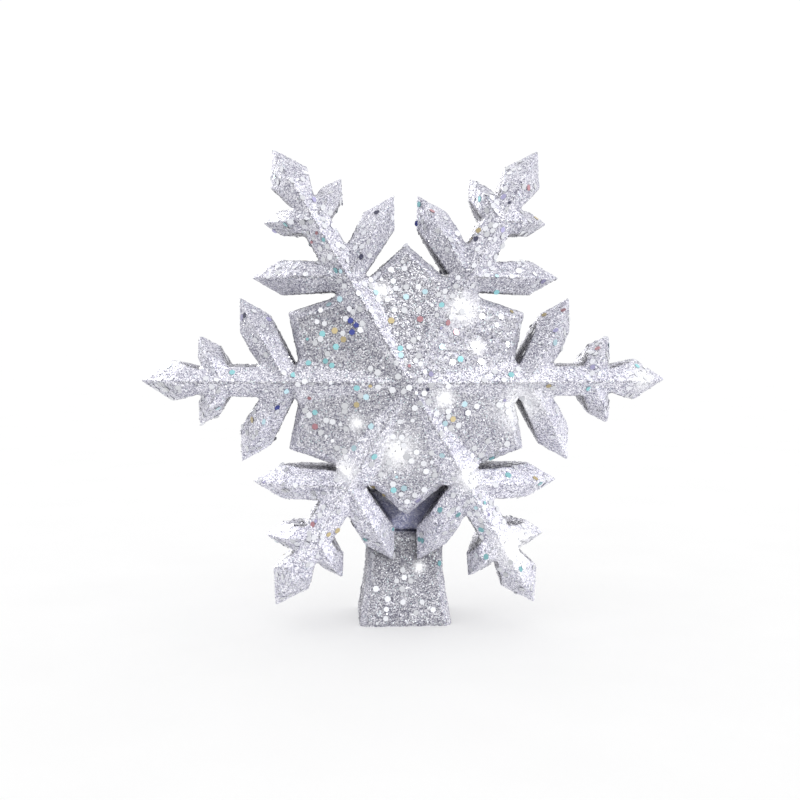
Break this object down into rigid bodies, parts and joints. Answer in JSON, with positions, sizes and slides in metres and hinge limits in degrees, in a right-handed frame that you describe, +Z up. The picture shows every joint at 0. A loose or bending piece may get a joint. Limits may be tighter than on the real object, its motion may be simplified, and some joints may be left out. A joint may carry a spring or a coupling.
{
  "type": "snowflake tree topper",
  "caption": "Faceted six-armed snowflake in silver glitter on a flared tree socket, hollow, with a clear projector dome turning in its back.",
  "frame": {"origin": "centre of the tree socket's open mouth, on its bottom rim", "axes": "+Z up along the socket's axis towards the snowflake, -Y the way the snowflake's face looks, +X to the viewer's right of the face"},
  "size_m": [0.19, 0.0646, 0.1727],
  "materials": {
    "glitter_shell": "silver glitter coat with scattered iridescent hexagonal flakes",
    "silver_trim": "satin silver",
    "clear_plastic": "clear moulded plastic",
    "black_plastic": "fine matt",
    "white_nylon": "satin",
    "aluminium": "extruded, natural",
    "circuit_board": "solder mask",
    "lamp_board": "white solder mask",
    "lamp": "clear lamp caps on white chips",
    "component_black": "moulded",
    "motor_metal": "zinc plated",
    "steel": "nickel plated",
    "lead_insulation": "soft insulation"
  },
  "bodies": {
    "flake": {"front_shell": "glitter_shell", "rear_shell": "glitter_shell", "tree_socket": "glitter_shell", "dome_bezel": "silver_trim", "condenser_lens": "clear_plastic", "projector_chassis": "black_plastic", "dc_inlet": "black_plastic", "heat_sink": "aluminium", "control_board": "circuit_board", "led_board": "lamp_board", "leds": "lamp", "board_components": "component_black", "gear_motor": "motor_metal", "shell_screws": "steel", "bezel_screws": "steel", "chassis_screws": "steel", "motor_screws": "steel", "sink_screws": "steel", "board_screws": "steel", "socket_screws": "steel", "lead_wires": "lead_insulation"},
    "dome_rotor": {"projector_dome": "clear_plastic", "ring_gear": "white_nylon"},
    "pinion": {"drive_pinion": "white_nylon", "motor_shaft": "steel"}
  },
  "joints": [
    {"name": "dome_spin", "type": "hinge", "parent": "flake", "child": "dome_rotor", "pos_m": [0, 0, 0.0904], "axis": [0, 1, 0], "continuous": true},
    {"name": "pinion_spin", "type": "hinge", "parent": "flake", "child": "pinion", "pos_m": [0, 0, 0.1152], "axis": [0, 1, 0], "continuous": true}
  ],
  "couplings": [
    {"joint": "pinion_spin", "follows": "dome_spin", "ratio": -4.1667}
  ]
}
